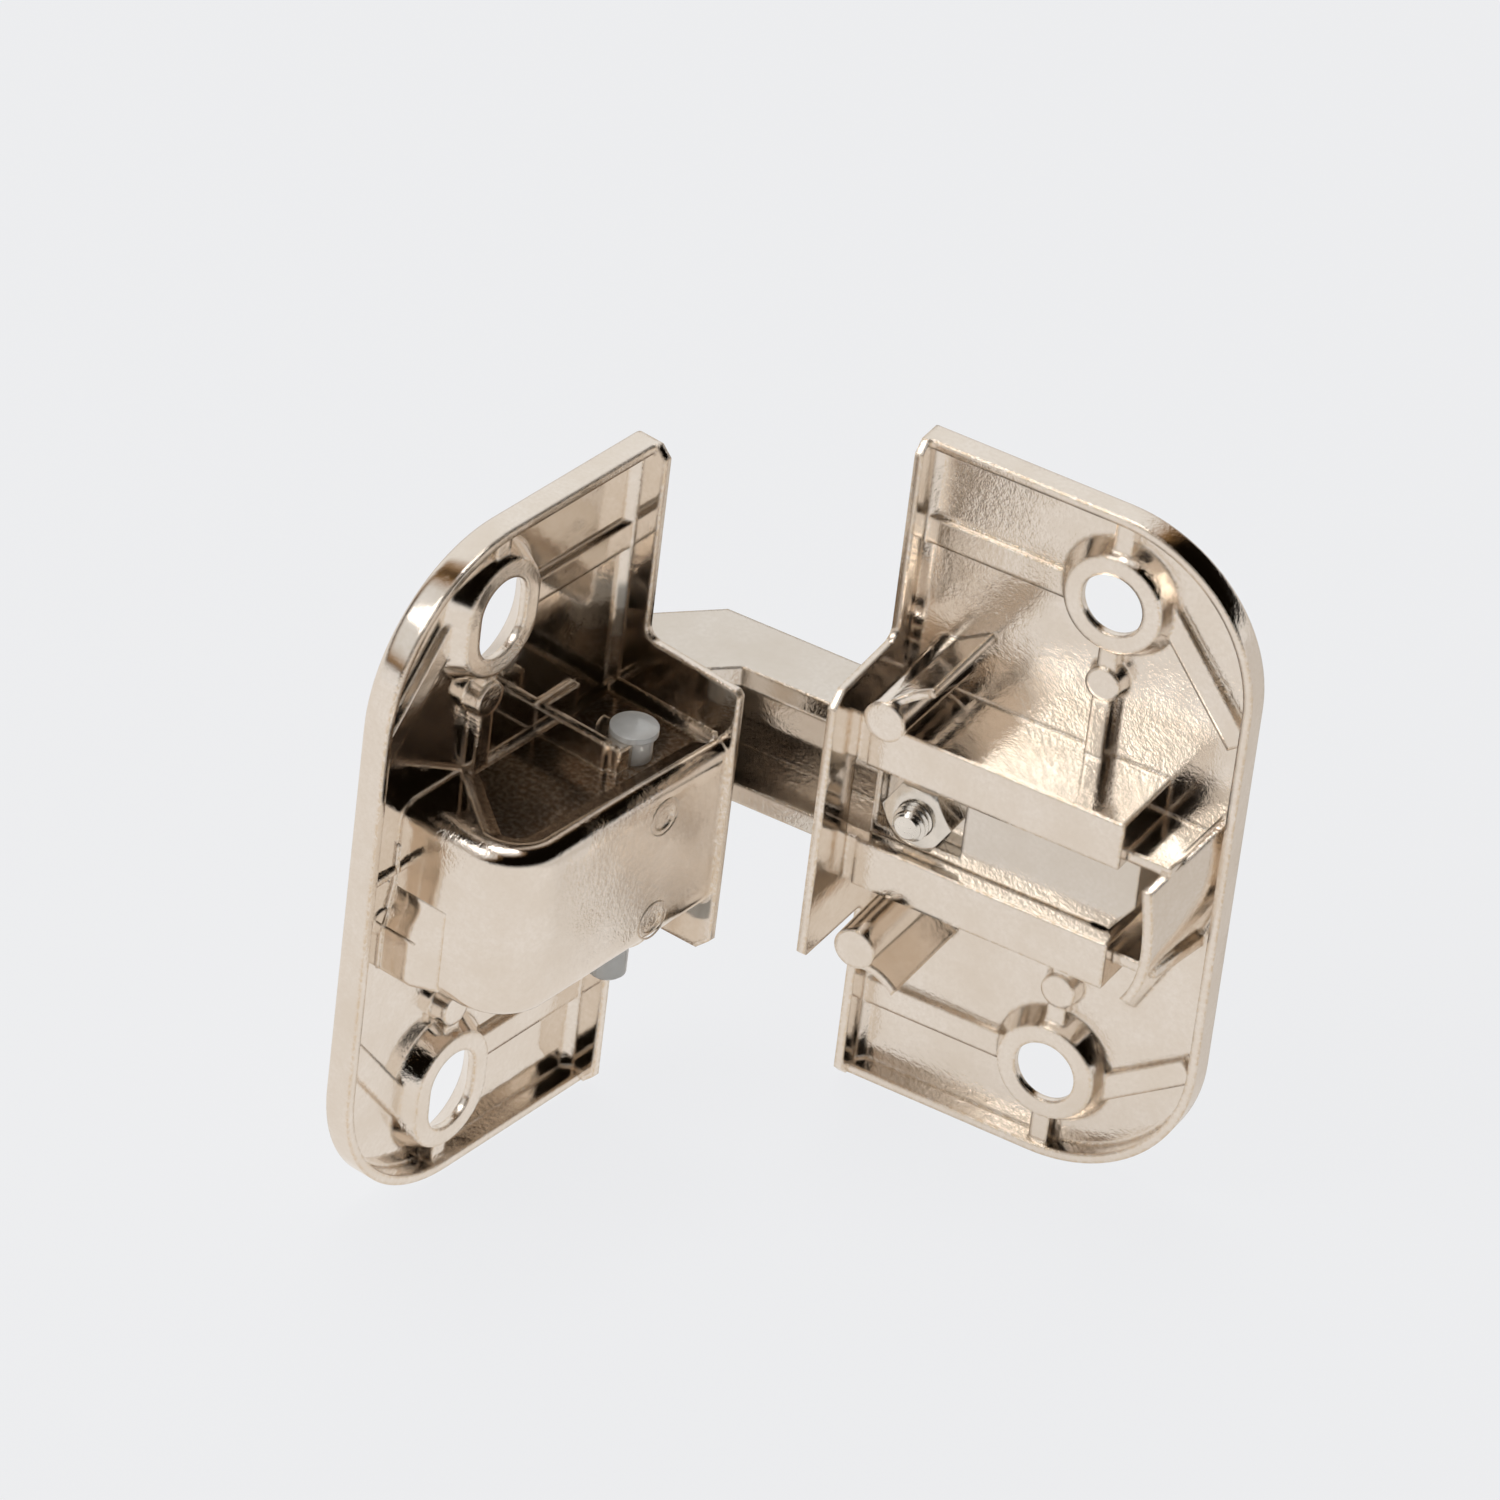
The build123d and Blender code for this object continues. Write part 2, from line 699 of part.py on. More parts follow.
with BuildPart() as clamp_nut:
    with BuildSketch(slide_face.offset(nut_seat)):
        with Locations((screw_across, 0)):
            RegularPolygon(nut_corners / 2, 6)
            Circle(thread_major / 2 + head_fit, mode=Mode.SUBTRACT)
    extrude(amount=nut_thickness)
    with BuildSketch(standing(slide_face, (screw_across, 0))):
        with BuildLine():
            bevel = nut_corners / 2 - nut_flats / 2 + nut_chamfer / 2
            Polyline(
                (nut_corners / 2 - bevel, nut_seat + nut_thickness),
                (nut_corners / 2 + bevel, nut_seat + nut_thickness),
                (nut_corners / 2 + bevel, nut_seat + nut_thickness - nut_chamfer * 2),
                close=True,
            )
        make_face()
    revolve(axis=screw_axis, mode=Mode.SUBTRACT)
clamp_nut.part.label = "clamp_nut"

# ======================= write the pieces =======================
os.makedirs("parts", exist_ok=True)
for piece in (slide_housing, pivot_housing, hinge_arm, pivot_pin, clamp_screw, clamp_nut):
    export_step(piece.part, f"parts/{piece.part.label}.step")
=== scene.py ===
import bmesh
import bpy
import math
from mathutils import Matrix, Vector


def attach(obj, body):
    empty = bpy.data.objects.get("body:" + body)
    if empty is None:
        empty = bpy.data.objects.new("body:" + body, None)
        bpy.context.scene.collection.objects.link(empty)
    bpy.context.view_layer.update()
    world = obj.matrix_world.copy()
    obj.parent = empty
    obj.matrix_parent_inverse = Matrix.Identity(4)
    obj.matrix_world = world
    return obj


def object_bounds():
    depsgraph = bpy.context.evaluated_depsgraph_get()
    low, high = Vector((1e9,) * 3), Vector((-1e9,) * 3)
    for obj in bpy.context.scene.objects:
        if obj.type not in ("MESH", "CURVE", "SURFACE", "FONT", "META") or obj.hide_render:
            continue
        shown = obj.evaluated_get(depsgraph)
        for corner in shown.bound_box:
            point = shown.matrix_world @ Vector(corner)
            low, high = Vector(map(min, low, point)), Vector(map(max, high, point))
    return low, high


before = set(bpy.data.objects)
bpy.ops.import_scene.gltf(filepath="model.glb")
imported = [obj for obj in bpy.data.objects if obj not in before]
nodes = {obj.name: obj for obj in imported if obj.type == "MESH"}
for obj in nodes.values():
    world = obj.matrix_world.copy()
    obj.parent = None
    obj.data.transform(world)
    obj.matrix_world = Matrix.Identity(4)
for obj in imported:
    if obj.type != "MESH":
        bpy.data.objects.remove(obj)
cad_low, cad_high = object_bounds()
scene = bpy.context.scene

# ------------------------------------------------------------------ camera
CAMERA_AT = Vector((0.4094, -0.9208, 0.7232))
CAMERA_HEADING = math.radians(115.9135)
CAMERA_DIP = math.radians(35.4429)
CAMERA_ROLL = math.radians(7.1504)

camera_data = bpy.data.cameras.new("camera")
camera_data.sensor_width = 36.0
camera_data.lens = 292.66
camera_data.clip_start = 0.01
camera_data.clip_end = 20.0
camera = bpy.data.objects.new("camera", camera_data)
turn = (Matrix.Rotation(CAMERA_HEADING - math.pi / 2, 4, "Z")
        @ Matrix.Rotation(math.pi / 2 - CAMERA_DIP, 4, "X")
        @ Matrix.Rotation(CAMERA_ROLL, 4, "Z"))
camera.matrix_world = Matrix.Translation(CAMERA_AT) @ turn
scene.collection.objects.link(camera)
scene.camera = camera


# ------------------------------------------------------------------ node helpers
# a mix node has sockets of one name for each kind of value, and these are its colour ones
MIX_COLOURS_IN, MIX_COLOUR_OUT = slice(6, 8), 2


class Tree:
    """A material's node tree, with short calls for what the materials below share."""

    def __init__(self, name):
        self.material = bpy.data.materials.new(name)
        self.material.use_nodes = True
        self.tree = self.material.node_tree
        self.tree.nodes.clear()
        self.out = self.add("ShaderNodeOutputMaterial")
        self.shader = self.add("ShaderNodeBsdfPrincipled")
        self.link(self.shader.outputs[0], self.out.inputs["Surface"])

    def add(self, kind, **settings):
        node = self.tree.nodes.new(kind)
        for key, value in settings.items():
            setattr(node, key, value)
        return node

    def link(self, source, target):
        self.tree.links.new(source, target)

    def place(self):
        """The point on the object, in its own axes, in metres."""
        if not hasattr(self, "_place"):
            self._place = self.add("ShaderNodeTexCoord").outputs["Object"]
        return self._place

    def noise(self, scale, detail, rough):
        node = self.add("ShaderNodeTexNoise")
        node.inputs["Scale"].default_value = scale
        node.inputs["Detail"].default_value = detail
        node.inputs["Roughness"].default_value = rough
        self.link(self.place(), node.inputs["Vector"])
        return node.outputs["Fac"]

    def span(self, value, low, high, to_low, to_high):
        """A value between two limits, mapped straight to two others."""
        node = self.add("ShaderNodeMapRange")
        node.inputs["From Min"].default_value = low
        node.inputs["From Max"].default_value = high
        node.inputs["To Min"].default_value = to_low
        node.inputs["To Max"].default_value = to_high
        self.link(value, node.inputs["Value"])
        return node.outputs["Result"]

    def height(self, origin, towards):
        """Distance in metres from a plane, along a direction."""
        shift = self.add("ShaderNodeVectorMath", operation="SUBTRACT")
        self.link(self.place(), shift.inputs[0])
        shift.inputs[1].default_value = origin
        dot = self.add("ShaderNodeVectorMath", operation="DOT_PRODUCT")
        self.link(shift.outputs["Vector"], dot.inputs[0])
        dot.inputs[1].default_value = towards
        return dot.outputs["Value"]

    def level(self):
        """1 on level faces, 0 on upright ones."""
        dot = self.add("ShaderNodeVectorMath", operation="DOT_PRODUCT")
        self.link(self.add("ShaderNodeNewGeometry").outputs["Normal"], dot.inputs[0])
        dot.inputs[1].default_value = (0.0, 0.0, 1.0)
        return self.span(self.math("ABSOLUTE", dot.outputs["Value"]), 0.90, 0.98, 0.0, 1.0)

    def math(self, kind, a, b=0.0):
        node = self.add("ShaderNodeMath", operation=kind)
        for socket, value in zip(node.inputs, (a, b)):
            if isinstance(value, (int, float)):
                socket.default_value = value
            else:
                self.link(value, socket)
        return node.outputs[0]

    def times(self, a, b):
        return self.math("MULTIPLY", a, b)

    def plus(self, a, b):
        return self.math("ADD", a, b)

    def blend(self, factor, a, b):
        """From colour a to colour b."""
        node = self.add("ShaderNodeMix", data_type="RGBA")
        self.link(factor, node.inputs["Factor"])
        for socket, value in zip(node.inputs[MIX_COLOURS_IN], (a, b)):
            if isinstance(value, tuple):
                socket.default_value = (*value, 1.0)
            else:
                self.link(value, socket)
        return node.outputs[MIX_COLOUR_OUT]

    def rounded(self, radius):
        """The normal over edges rounded by a radius, and a mask that is 1 on those edges."""
        bevel = self.add("ShaderNodeBevel", samples=6)
        bevel.inputs["Radius"].default_value = radius
        flat = self.add("ShaderNodeNewGeometry").outputs["Normal"]
        dot = self.add("ShaderNodeVectorMath", operation="DOT_PRODUCT")
        self.link(bevel.outputs[0], dot.inputs[0])
        self.link(flat, dot.inputs[1])
        return bevel.outputs[0], self.span(dot.outputs["Value"], 0.995, 0.90, 0.0, 1.0)

    def bump(self, normal, layers):
        """Bump layers over a normal, each (height, strength, distance in metres)."""
        for height, strength, distance in layers:
            node = self.add("ShaderNodeBump")
            if isinstance(strength, float):
                node.inputs["Strength"].default_value = strength
            else:
                self.link(strength, node.inputs["Strength"])
            node.inputs["Distance"].default_value = distance
            self.link(height, node.inputs["Height"])
            self.link(normal, node.inputs["Normal"])
            normal = node.outputs[0]
        self.link(normal, self.shader.inputs["Normal"])


# sizes of the castings that the materials and the added forms share
MM = 0.001
FACE_Y = 3.5 * MM
PIVOT_AT = Vector((-0.046893, -0.016753, 0.0))
ACROSS = Vector((-0.16264, -0.98669, 0.0))
DEEP = Vector((0.98669, -0.16264, 0.0))
ALONG = Vector((0.0, 0.0, 1.0))
RECESS_FLOOR = 9.45

# each pair is where a mask starts to fall or rise and where it ends, in metres
DISH_FLOOR = (0.0012, 0.0022)
FRONT_DEEP = (0.0155, 0.0164)
FRONT_HALF = (0.0066, 0.0078)
RECESS_OFF = (0.0001, 0.0003)
WAVE_DEPTH, GRAIN_DEPTH = 0.0004, 0.00016
# colours of a painted gold reflection on the edges and of a painted brown shade on the recess floors
EDGE_GLINT_GOLD, RECESS_SHADE_BROWN = (0.74, 0.56, 0.36), (0.42, 0.28, 0.17)


def nickel(name, tint, dark_tint, rough, wave, grit, edge, patches, dish=None, pocket=None):
    """Nickel plate over a zinc casting: soft waves, patches of cast grain, and a painted gold reflection on
    the edges.

    The floor of a dish, the front of a pocket and the floors of its recesses are rougher. Dish and
    pocket are each given as a point on the finished face and the direction from it into the casting.
    """
    t = Tree(name)
    t.shader.inputs["Metallic"].default_value = 1.0
    normal, rim = t.rounded(edge)
    blotch = t.noise(150.0, 4.0, 0.6)
    cloud = t.noise(45.0, 2.0, 0.5)
    patch = t.span(t.noise(110.0, 4.0, 0.6), *patches, 1.0)
    fine = t.noise(1900.0, 3.0, 0.65)
    peel = t.noise(330.0, 2.0, 0.5)

    face = t.blend(t.span(blotch, 0.35, 0.7, 0.0, 1.0), tint, dark_tint)
    speckled = t.blend(t.span(fine, 0.35, 0.62, 0.0, 0.5), face, dark_tint)
    # painted reflection: gold glints blended onto the rounded edges, patchy by the fine noise
    edge_glint = t.times(rim, t.span(fine, 0.40, 0.60, 0.1, 0.6))
    colour = t.blend(edge_glint, speckled, EDGE_GLINT_GOLD)
    mixed = t.plus(t.times(cloud, 0.7), t.times(fine, 0.3))
    roughness = t.span(mixed, 0.35, 0.65, *rough)
    grain = t.times(t.plus(patch, t.times(rim, 0.9)), grit)
    if dish:
        satin = t.span(t.height(*dish), *DISH_FLOOR, 1.0, 0.0)
        roughness = t.plus(roughness, t.times(satin, 0.06))
        grain = t.times(grain, t.plus(t.times(satin, 0.6), 0.5))
    if pocket:
        from_middle = t.math("ABSOLUTE", t.height((0.0, 0.0, 0.0), ALONG))
        front = t.times(t.span(t.height(*pocket), *FRONT_DEEP, 0.0, 1.0),
                        t.span(from_middle, *FRONT_HALF, 1.0, 0.0))
        roughness = t.plus(roughness, t.times(front, 0.13))
        grain = t.plus(grain, t.times(front, 0.2))
        from_floor = t.math("ABSOLUTE", t.math("SUBTRACT", from_middle, RECESS_FLOOR * MM))
        recess = t.times(t.span(from_floor, *RECESS_OFF, 1.0, 0.0), t.level())
        roughness = t.plus(roughness, t.times(recess, 0.16))
        # painted shade: the level floors of the recesses are blended towards brown
        recess_shade = t.times(recess, t.span(fine, 0.42, 0.62, 0.9, 0.3))
        colour = t.blend(recess_shade, colour, RECESS_SHADE_BROWN)
    t.link(colour, t.shader.inputs["Base Color"])
    t.link(roughness, t.shader.inputs["Roughness"])
    t.bump(normal, ((peel, wave, WAVE_DEPTH), (fine, grain, GRAIN_DEPTH)))
    return t.material


# patches of grain: the noise values where they start and where they are full, and the grain between them
GRAINY, POLISHED = (0.42, 0.62, 0.30), (0.50, 0.66, 0.05)
HOUSING = {"tint": (0.90, 0.845, 0.785), "dark_tint": (0.82, 0.745, 0.66), "rough": (0.05, 0.12),
           "wave": 0.05, "grit": 0.50, "edge": 0.0007}
ARM = {"tint": (0.79, 0.745, 0.695), "dark_tint": (0.73, 0.675, 0.61), "rough": (0.08, 0.16),
       "wave": 0.04, "grit": 0.35, "edge": 0.0006}
slide_plate = nickel("nickel_slide", **HOUSING, patches=GRAINY,
                     dish=((0.0, FACE_Y, 0.0), (0.0, -1.0, 0.0)))
pivot_plate = nickel("nickel_pivot", **HOUSING, patches=POLISHED, pocket=(PIVOT_AT, DEEP))
arm_plate = nickel("nickel_arm", **ARM, patches=GRAINY)


def zinc(name, tint, metallic, rough, edge):
    """Bright zinc-plated steel with a fine grain."""
    t = Tree(name)
    t.shader.inputs["Metallic"].default_value = metallic
    cloud = t.noise(300.0, 3.0, 0.6)
    fine = t.noise(2600.0, 2.0, 0.5)
    darker = tuple(c * 0.86 for c in tint)
    t.link(t.blend(t.span(cloud, 0.3, 0.7, 0.0, 1.0), tint, darker), t.shader.inputs["Base Color"])
    t.link(t.span(fine, 0.3, 0.7, *rough), t.shader.inputs["Roughness"])
    normal, _ = t.rounded(edge)
    t.bump(normal, ((fine, 0.12, 0.0001),))
    return t.material


pin_metal = zinc("zinc_pin", (0.94, 0.98, 1.0), 0.08, (0.12, 0.22), 0.0002)
screw_metal = zinc("zinc_screw", (0.92, 0.89, 0.84), 1.0, (0.16, 0.30), 0.00008)
nut_metal = zinc("zinc_nut", (0.88, 0.84, 0.78), 1.0, (0.12, 0.26), 0.0002)


# ------------------------------------------------------------------ CAD nodes
WELD_REACH = 0.000002
NODE_SHARP, THREAD_SHARP, CAST_SHARP = math.radians(28), math.radians(35), math.radians(32)


def dress(name, material):
    """Gives a CAD node its material and smooth shading across its curved faces."""
    piece = nodes[name]
    piece.data.materials.clear()
    piece.data.materials.append(material)
    weld = piece.modifiers.new("weld", "WELD")
    weld.merge_threshold = WELD_REACH
    split = piece.modifiers.new("split", "EDGE_SPLIT")
    split.split_angle = NODE_SHARP
    split.use_edge_sharp = False
    piece.data.shade_smooth()


dress("slide_housing", slide_plate)
dress("pivot_housing", pivot_plate)
dress("hinge_arm", arm_plate)
dress("pivot_pin", pin_metal)
dress("clamp_screw", screw_metal)
dress("clamp_nut", nut_metal)

# ------------------------------------------------------------------ screw thread
SCREW_X = -0.0152
PITCH = 0.0007
CORE, CREST = 0.00156, 0.00198
THREAD_START, THREAD_END = 0.0046, 0.0120
STEPS_PER_TURN = 36
RUN_OUT = 0.6 * STEPS_PER_TURN
# section of the ridge: places in pitches, and heights as a share of the whole
RIDGE = ((-0.44, 0.0), (-0.07, 1.0), (0.07, 1.0), (0.44, 0.0))


def screw_thread():
    """Helical ridge round the screw's core, running out at both ends."""
    length = THREAD_END - THREAD_START
    count = int(length / PITCH * STEPS_PER_TURN)
    width = len(RIDGE)
    vertices, faces = [], []
    for i in range(count + 1):
        angle = 2 * math.pi * i / STEPS_PER_TURN
        along = THREAD_START + length * i / count
        fade = min(1.0, i / RUN_OUT, (count - i) / RUN_OUT)
        for shift, height in RIDGE:
            r = CORE + (CREST - CORE) * height * fade
            deep = along + shift * PITCH
            vertices.append((SCREW_X + r * math.cos(angle), FACE_Y - deep, r * math.sin(angle)))
    for i in range(count):
        a = i * width
        for j in range(a, a + width - 1):
            faces.append((j, j + 1, j + 1 + width, j + width))
        faces.append((a + width - 1, a, a + width, a + 2 * width - 1))
    faces.append(tuple(range(width)))
    faces.append(tuple(count * width + k for k in reversed(range(width))))
    mesh = bpy.data.meshes.new("screw_thread")
    mesh.from_pydata(vertices, [], faces)
    mesh.validate()
    mesh.shade_smooth()
    mesh.set_sharp_from_angle(angle=THREAD_SHARP)
    mesh.materials.append(screw_metal)
    thread = bpy.data.objects.new("screw_thread", mesh)
    scene.collection.objects.link(thread)
    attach(thread, "screw")


screw_thread()


# ------------------------------------------------------------------ cast forms on the pivot housing
def cast_piece(name, loops, closed=False):
    """A solid drawn through loops of points, with capped ends unless it closes on itself.

    Points are (across, deep, along) in millimetres from the middle of the housing's flanged edge.
    """
    width, count = len(loops[0]), len(loops)
    vertices = [PIVOT_AT + (ACROSS * b + DEEP * d + ALONG * z) * MM for loop in loops for b, d, z in loop]
    faces = []
    for i in range(count if closed else count - 1):
        k = (i + 1) % count
        for j in range(width):
            m = (j + 1) % width
            faces.append((i * width + j, i * width + m, k * width + m, k * width + j))
    if not closed:
        faces.append(tuple(reversed(range(width))))
        faces.append(tuple((count - 1) * width + j for j in range(width)))
    mesh = bpy.data.meshes.new(name)
    mesh.from_pydata(vertices, [], faces)
    mesh.validate()
    work = bmesh.new()
    work.from_mesh(mesh)
    bmesh.ops.recalc_face_normals(work, faces=work.faces)
    work.to_mesh(mesh)
    work.free()
    mesh.shade_smooth()
    mesh.set_sharp_from_angle(angle=CAST_SHARP)
    mesh.materials.append(pivot_plate)
    piece = bpy.data.objects.new(name, mesh)
    scene.collection.objects.link(piece)
    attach(piece, "pivot_side")


ARC_STEPS, FILLET_STEPS, ROOT_STEPS = 12, 8, 6
SUNK_IN_FLOOR, SUNK_IN_WALL, TOP_DROP = 0.05, 0.12, 0.02


def arc(start, middle, end):
    """Points on the circle through three points of a plane."""
    (ax, ay), (bx, by), (cx, cy) = start, middle, end
    k = 2 * (ax * (by - cy) + bx * (cy - ay) + cx * (ay - by))
    aa, bb, cc = ax * ax + ay * ay, bx * bx + by * by, cx * cx + cy * cy
    ux = (aa * (by - cy) + bb * (cy - ay) + cc * (ay - by)) / k
    uy = (aa * (cx - bx) + bb * (ax - cx) + cc * (bx - ax)) / k
    radius = math.hypot(ax - ux, ay - uy)
    first = math.atan2(ay - uy, ax - ux)
    sweep = (math.atan2(cy - uy, cx - ux) - first) % (2 * math.pi)
    part = (math.atan2(by - uy, bx - ux) - first) % (2 * math.pi)
    if part > sweep:
        sweep -= 2 * math.pi
    angles = [first + sweep * i / ARC_STEPS for i in range(ARC_STEPS + 1)]
    return [(ux + radius * math.cos(a), uy + radius * math.sin(a)) for a in angles]


def hollow_fillet(width, height):
    """Section of a concave fillet, as points (reach from the wall, height over the floor).

    Its back is sunk in both, so that the casting and the fillet share no face.
    """
    turn = [math.pi / 2 * i / FILLET_STEPS for i in range(FILLET_STEPS + 1)]
    curve = [(width * (1 - math.cos(t)), height * (1 - math.sin(t))) for t in turn]
    back = [(width, -SUNK_IN_FLOOR), (-SUNK_IN_WALL, -SUNK_IN_FLOOR), (-SUNK_IN_WALL, height - TOP_DROP)]
    return curve + back


# the pocket's recess: its outline from the leaf round the nose to the flange, and its walls
HEEL, TURN, NOSE, SHOULDER, CROWN = (24.2, 1.1), (26.6, 4.2), (30.7, 9.7), (29.8, 12.85), (27.3, 14.4)
RECESS_FLANGE, RECESS_LEAF, RECESS_MIDDLE = 0.9, 1.1, (14.0, 7.0)
ROOT = (RECESS_FLANGE, 15.2)
RIM_FILLET, FLANGE_FILLET, LEAF_FILLET = (1.9, 0.8), (1.5, 1.5), (0.9, 0.9)

outline = arc(HEEL, TURN, NOSE) + arc(NOSE, SHOULDER, CROWN)[1:]
for i in range(1, ROOT_STEPS + 1):
    outline.append(tuple(c + (r - c) * i / ROOT_STEPS for c, r in zip(CROWN, ROOT)))
for side, end in ((1, "upper"), (-1, "lower")):
    loops = []
    for i, (b, d) in enumerate(outline):
        before, after = outline[max(i - 1, 0)], outline[min(i + 1, len(outline) - 1)]
        way = Vector((after[0] - before[0], after[1] - before[1])).normalized()
        inward = Vector((-way.y, way.x))
        if inward.dot(Vector(RECESS_MIDDLE) - Vector((b, d))) < 0:
            inward.negate()
        loops.append([(b + inward.x * s, d + inward.y * s, side * (RECESS_FLOOR + h))
                      for s, h in hollow_fillet(*RIM_FILLET)])
    cast_piece(f"recess_fillet_{end}", loops)
    cast_piece(f"flange_fillet_{end}",
               [[(RECESS_FLANGE + s, d, side * (RECESS_FLOOR + h)) for s, h in hollow_fillet(*FLANGE_FILLET)]
                for d in (1.0, 6.0, 11.0, 15.2)])
    cast_piece(f"floor_fillet_{end}",
               [[(b, RECESS_LEAF + s, side * (RECESS_FLOOR + h)) for s, h in hollow_fillet(*LEAF_FILLET)]
                for b in (0.9, 8.0, 16.0, 23.5)])

# the pad on the pocket's side, with its upper end run out as a draft
LEAF_FACE, UNDER_LEAF = 1.0, 0.9
SIDE, INSIDE, PAD_TOP, PAD_SLOPE = 33.4, 33.2, 8.03, 2
pad_loops = []
for reach, z in ((1.33, -9.23), (1.33, -4.4), (0.93, -2.9), (-0.05, 0.8)):
    outside = SIDE + reach
    pad_loops.append([(INSIDE, UNDER_LEAF, z), (outside, UNDER_LEAF, z),
                      (outside, PAD_TOP - PAD_SLOPE * reach, z), (SIDE, PAD_TOP, z), (INSIDE, PAD_TOP, z)])
cast_piece("pad_draft", pad_loops)

# joint of the leaf and the pocket's side, which follows the pad
JOINT_PATH = ((34.73, -9.2), (34.73, -4.4), (34.33, -2.9), (33.4, 0.7), (33.4, 5.6))
cast_piece("joint_fillet", [[(b + s, LEAF_FACE + h, z) for s, h in hollow_fillet(0.6, 0.6)]
                            for b, z in JOINT_PATH])

# knurled bar on the leaf, from the rim to the pocket's side, with its last stretch plain
BAR_FROM, BAR_LENGTH, BAR_LOOPS, BAR_Z = 38.3, 4.6, 90, 2.4
BAR_RADIUS, KNURL_HEIGHT, KNURL_PITCH, KNURL_TO = 0.60, 0.11, 0.42, 34.9
half_round = [math.pi * j / 10 for j in range(11)]
bar_loops = []
for i in range(BAR_LOOPS):
    b = BAR_FROM - BAR_LENGTH * i / (BAR_LOOPS - 1)
    r = BAR_RADIUS
    if b > KNURL_TO:
        r += KNURL_HEIGHT * math.cos(2 * math.pi * b / KNURL_PITCH)
    bar_loops.append([(b, LEAF_FACE + r * math.sin(a), BAR_Z + r * math.cos(a)) for a in half_round]
                     + [(b, UNDER_LEAF, BAR_Z - r), (b, UNDER_LEAF, BAR_Z + r)])
cast_piece("knurled_bar", bar_loops)

# rings that the ejector pins left on the pocket's wall
RING_RADIUS, RING_WIDE, RING_HIGH, WALL_DEEP = 2.15, 0.11, 0.09, 16.7
section = [(RING_RADIUS + RING_WIDE * math.cos(c), RING_HIGH * math.sin(c))
           for c in (2 * math.pi * j / 8 for j in range(8))]
for k, (b, z) in enumerate(((10.29, 5.81), (10.38, -7.09))):
    ring_loops = [[(b + r * math.cos(a), WALL_DEEP + h, z + r * math.sin(a)) for r, h in section]
                  for a in (2 * math.pi * i / 40 for i in range(40))]
    cast_piece(f"ejector_ring_{k}", ring_loops, closed=True)

# ------------------------------------------------------------------ floor
FLOOR_RADIUS, FLOOR_SIDES, FLOOR_GAP = 3.0, 64, 0.0002
floor_mesh = bpy.data.meshes.new("floor")
around = [2 * math.pi * i / FLOOR_SIDES for i in range(FLOOR_SIDES)]
floor_mesh.from_pydata([(FLOOR_RADIUS * math.cos(a), FLOOR_RADIUS * math.sin(a), 0.0) for a in around],
                       [], [tuple(range(FLOOR_SIDES))])
floor = bpy.data.objects.new("floor", floor_mesh)
floor.location = (0.0, 0.0, cad_low[2] - FLOOR_GAP)
scene.collection.objects.link(floor)

# The camera sees an almost even pale floor with a faint shadow. Reflections see a warmer one, with a
# painted shadow that darkens it past the object.
SEEN_COLOUR = (0.893, 0.900, 0.9175)
NEAR_COLOUR, SHADOW_COLOUR = (0.84, 0.797, 0.753), (0.66, 0.615, 0.570)
EVEN_TO_CAMERA, EVEN_TO_GLOSS = 0.9, 0.95

paper = Tree("paper")
paper.shader.inputs["Roughness"].default_value = 0.9
paper.shader.inputs["Specular IOR Level"].default_value = 0.1
fibre = paper.noise(60.0, 4.0, 0.6)
paper.link(paper.blend(fibre, (0.70, 0.712, 0.72), (0.72, 0.732, 0.74)), paper.shader.inputs["Base Color"])
ray = paper.add("ShaderNodeLightPath")
even = paper.add("ShaderNodeEmission")
even.inputs["Strength"].default_value = 1.0
# painted shadow: the table that reflections see turns darker past the object
painted_shadow = paper.span(paper.height((0.0, 0.0, 0.0), (0.35, 0.94, 0.0)), -0.015, 0.035, 0.0, 1.0)
table = paper.blend(painted_shadow, NEAR_COLOUR, SHADOW_COLOUR)
paper.link(paper.blend(ray.outputs["Is Camera Ray"], table, SEEN_COLOUR), even.inputs["Color"])
share = paper.math("MAXIMUM", paper.times(ray.outputs["Is Camera Ray"], EVEN_TO_CAMERA),
                   paper.times(ray.outputs["Is Glossy Ray"], EVEN_TO_GLOSS))
mix = paper.add("ShaderNodeMixShader")
paper.link(share, mix.inputs[0])
paper.link(paper.shader.outputs[0], mix.inputs[1])
paper.link(even.outputs[0], mix.inputs[2])
paper.link(mix.outputs[0], paper.out.inputs["Surface"])
floor_mesh.materials.append(paper.material)


# ------------------------------------------------------------------ light
LIT_POINT = Vector((-0.02, -0.02, 0.0))


def softbox(name, at, size, power, colour):
    """A rectangular lamp turned to the object."""
    data = bpy.data.lights.new(name, "AREA")
    data.shape = "RECTANGLE"
    data.size, data.size_y = size
    data.energy = power
    data.color = colour
    lamp = bpy.data.objects.new(name, data)
    lamp.location = at
    lamp.rotation_mode = "QUATERNION"
    lamp.rotation_quaternion = (LIT_POINT - Vector(at)).to_track_quat("-Z", "Y")
    scene.collection.objects.link(lamp)


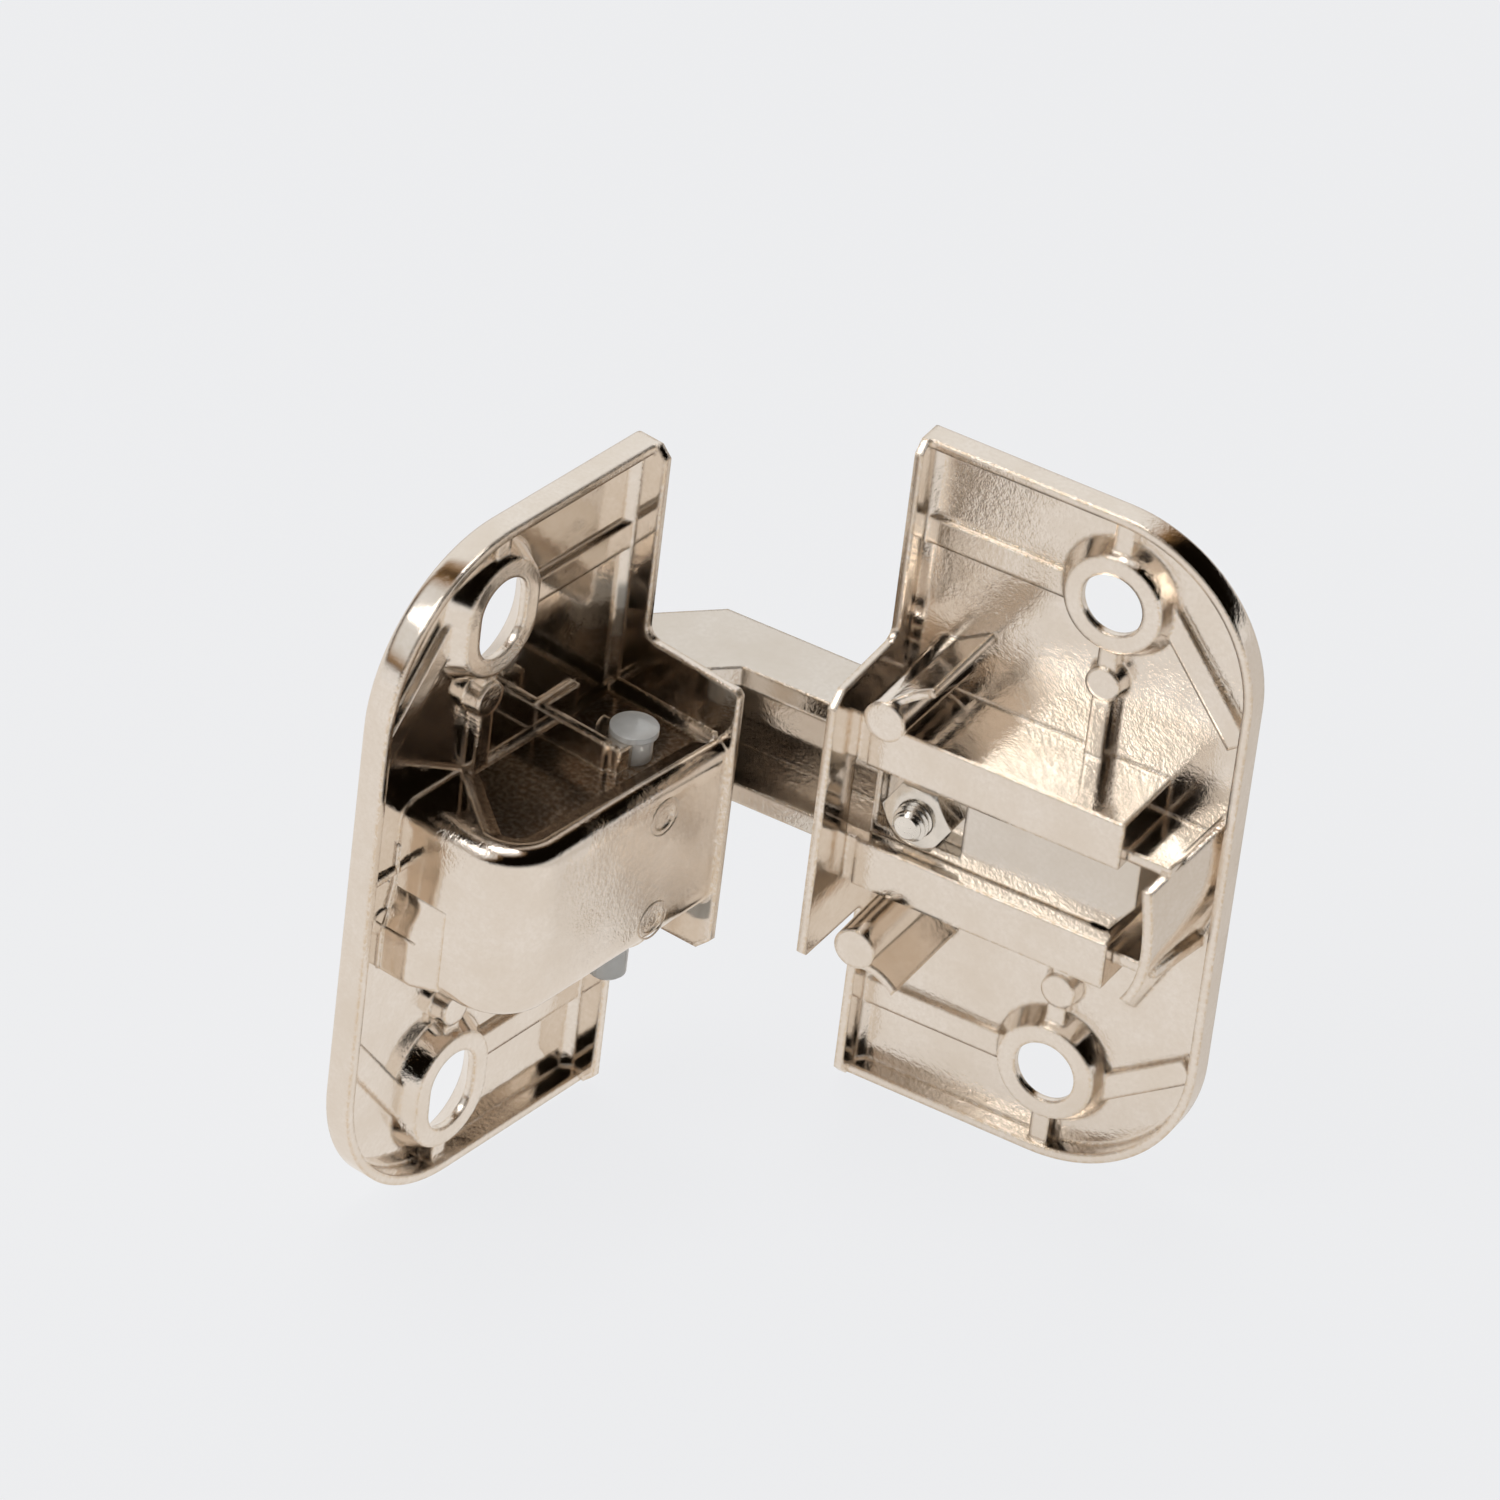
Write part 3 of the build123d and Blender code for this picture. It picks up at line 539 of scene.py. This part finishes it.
softbox("key", (-0.61, -0.73, 0.95), (0.50, 0.50), 2.2, (1.0, 0.985, 0.96))
softbox("top", (-0.25, 0.10, 1.3), (0.5, 0.3), 2.5, (1.0, 0.99, 0.97))


class Sky(Tree):
    """The world's nodes. Only the helpers are shared with a material's tree."""

    def __init__(self, world):
        self.tree = world.node_tree
        self.tree.nodes.clear()
        self.out = self.add("ShaderNodeOutputWorld")
        self.way = self.add("ShaderNodeTexCoord").outputs["Generated"]

    def lobe(self, towards, dark, light):
        """1 in the given direction, falling to 0 between two cosines."""
        dot = self.add("ShaderNodeVectorMath", operation="DOT_PRODUCT")
        self.link(self.way, dot.inputs[0])
        dot.inputs[1].default_value = Vector(towards).normalized()
        ease = self.add("ShaderNodeMapRange", interpolation_type="SMOOTHSTEP")
        ease.inputs["From Min"].default_value = dark
        ease.inputs["From Max"].default_value = light
        self.link(dot.outputs["Value"], ease.inputs["Value"])
        return ease.outputs["Result"]


# A dark room with pale panels to the back left, to the front left and overhead, each with an amber
# edge. All that is lower than about 5 degrees over the horizon is pale too.
BLACK, AMBER, PALE, LOW = (0.003, 0.002, 0.001), (0.30, 0.17, 0.07), (0.86, 0.84, 0.81), (0.80, 0.77, 0.74)
# direction, cosine at the panel's edge and at its full part, strength
PANELS = (((-0.6, 0.6, 0.5), 0.70, 0.90, 1.0),
          ((-0.455, -0.60, 0.66), 0.80, 0.94, 0.85),
          ((-0.05, -0.10, 1.0), 0.93, 0.985, 1.0))

world = bpy.data.worlds.new("studio")
world.use_nodes = True
scene.world = world
sky = Sky(world)
shade = BLACK
for towards, dark, light, strength in PANELS:
    fall = sky.lobe(towards, dark, light)
    amber = sky.span(fall, 0.0, 0.45, 0.0, 1.0)
    pale = sky.span(fall, 0.35, 1.0, 0.0, 1.0)
    shade = sky.blend(pale, sky.blend(amber, shade, AMBER), tuple(strength * c for c in PALE))
shade = sky.blend(sky.lobe((0.0, 0.0, -1.0), -0.17, -0.08), shade, LOW)
glow = sky.add("ShaderNodeBackground")
sky.link(shade, glow.inputs["Color"])
sky.link(glow.outputs[0], sky.out.inputs["Surface"])

scene.view_settings.view_transform = "Standard"
